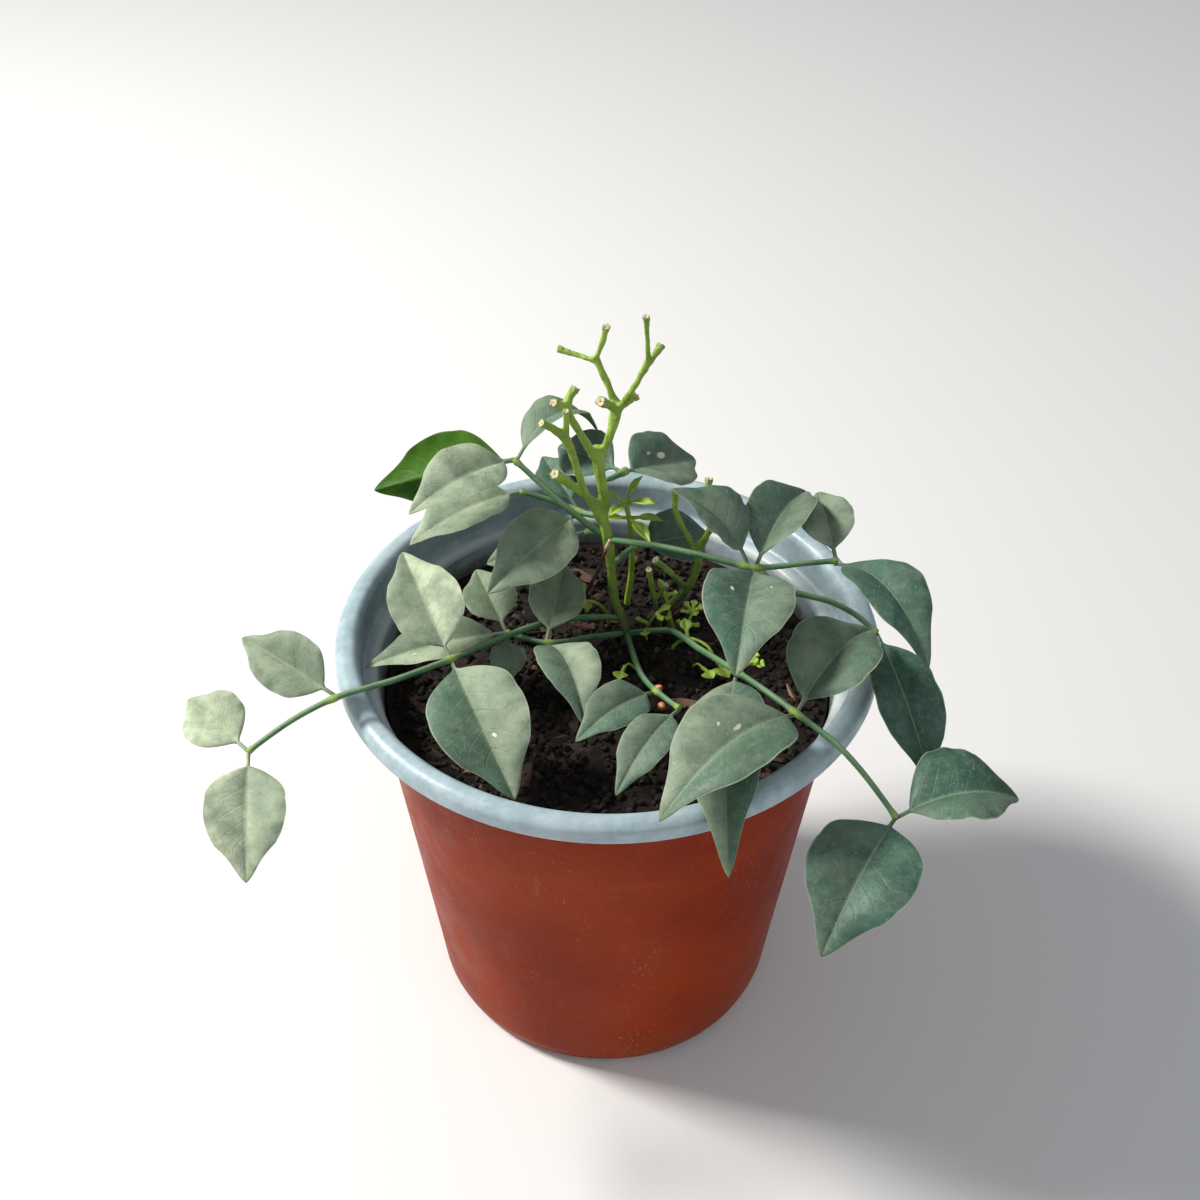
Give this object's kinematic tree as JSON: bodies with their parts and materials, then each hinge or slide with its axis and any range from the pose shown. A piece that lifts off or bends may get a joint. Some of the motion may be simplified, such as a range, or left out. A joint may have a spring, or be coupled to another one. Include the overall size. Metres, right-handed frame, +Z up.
{
  "type": "potted pandorea vine",
  "caption": "Young trailing vine with pinnate leaves and cut-back green stems, rooted in potting mix in a tapered plastic nursery pot with a rolled lip.",
  "frame": {"origin": "centre of the pot's base, on the surface that it stands on", "axes": "+Z up along the pot's axis, +X to the right and +Y to the back as the plant is seen from its fullest side"},
  "size_m": [0.2166, 0.1728, 0.2241],
  "materials": {
    "pot": "thin moulded plastic in two colours: brick red outside, blue-grey lip and grey inside, dusty and scuffed",
    "potting_mix": "dark damp crumbs of bark and peat",
    "stem": "living green stem with pale cut ends",
    "leaf_stalk": "thin green leaf stalk, slightly glossy",
    "leaflet": "dull grey-green living leaf, paler where dusty, with a faint midrib",
    "fresh_shoot": "soft yellow-green new growth",
    "dead_twig": "dry brown twig"
  },
  "bodies": {
    "root": {"dead_twig": "dead_twig", "leaflet_back_high_1": "leaflet", "leaflet_back_high_2": "leaflet", "leaflet_back_low_1": "leaflet", "leaflet_front_1": "leaflet", "leaflet_front_2": "leaflet", "leaflet_front_right_1": "leaflet", "leaflet_front_right_2": "leaflet", "leaflet_front_right_3": "leaflet", "leaflet_front_right_4": "leaflet", "leaflet_front_right_5": "leaflet", "leaflet_left_high_1": "leaflet", "leaflet_left_high_2": "leaflet", "leaflet_left_high_3": "leaflet", "leaflet_left_inner_1": "leaflet", "leaflet_left_low_1": "leaflet", "leaflet_left_low_2": "leaflet", "leaflet_left_low_3": "leaflet", "leaflet_left_low_4": "leaflet", "leaflet_left_low_5": "leaflet", "leaflet_left_middle_1": "leaflet", "leaflet_left_middle_2": "leaflet", "leaflet_left_middle_3": "leaflet", "leaflet_left_short_1": "leaflet", "leaflet_left_short_2": "leaflet", "leaflet_left_short_3": "leaflet", "leaflet_left_short_4": "leaflet", "leaflet_left_short_5": "leaflet", "leaflet_right_high_1": "leaflet", "leaflet_right_high_2": "leaflet", "leaflet_right_high_3": "leaflet", "leaflet_right_high_4": "leaflet", "leaflet_right_high_5": "leaflet", "leaflet_right_middle_1": "leaflet", "main_stem": "stem", "pot": "pot", "potting_mix": "potting_mix", "second_stem": "stem", "seedling": "fresh_shoot", "sprig": "fresh_shoot", "stalk_back_high": "leaf_stalk", "stalk_back_low": "leaf_stalk", "stalk_front": "leaf_stalk", "stalk_front_right": "leaf_stalk", "stalk_left_high": "leaf_stalk", "stalk_left_inner": "leaf_stalk", "stalk_left_low": "leaf_stalk", "stalk_left_middle": "leaf_stalk", "stalk_left_short": "leaf_stalk", "stalk_right_high": "leaf_stalk", "stalk_right_middle": "leaf_stalk", "thin_stem": "stem", "young_shoot": "fresh_shoot"}
  },
  "joints": []
}
